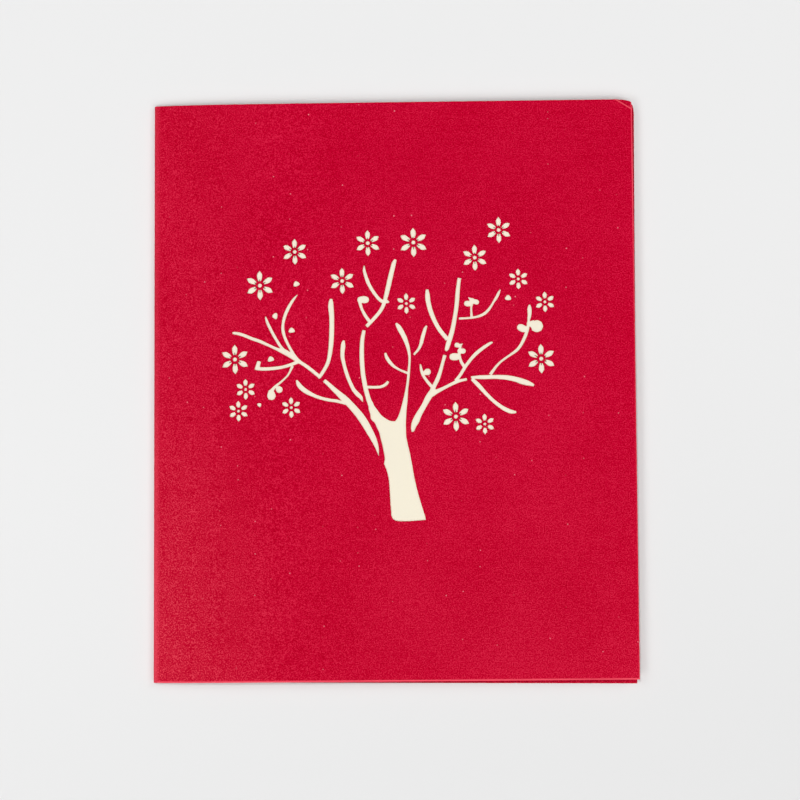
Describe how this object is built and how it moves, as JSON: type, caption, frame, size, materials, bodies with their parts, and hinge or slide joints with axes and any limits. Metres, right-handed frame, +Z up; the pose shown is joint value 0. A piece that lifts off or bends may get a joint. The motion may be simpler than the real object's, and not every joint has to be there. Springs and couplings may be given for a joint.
{
  "type": "pop up card",
  "caption": "Closed folded card with a blossom tree cut through its red front panel, a cream liner showing behind it and folded pop-up trees inside.",
  "frame": {"origin": "middle of the underside of the card's box, with the card closed and lying on its back panel", "axes": "+X from the spine to the fore-edge, +Y up the page, +Z up out of the front panel"},
  "size_m": [0.1514, 0.1818, 0.0044],
  "materials": {
    "red_card": "pearly, fine grain",
    "liner_paper": "matte",
    "popup_paper": "matte"
  },
  "bodies": {
    "root": {"cover": "red_card", "liner": "liner_paper", "popup_tree_back": "popup_paper", "popup_tree_middle": "popup_paper", "popup_tree_front": "popup_paper"}
  },
  "joints": []
}
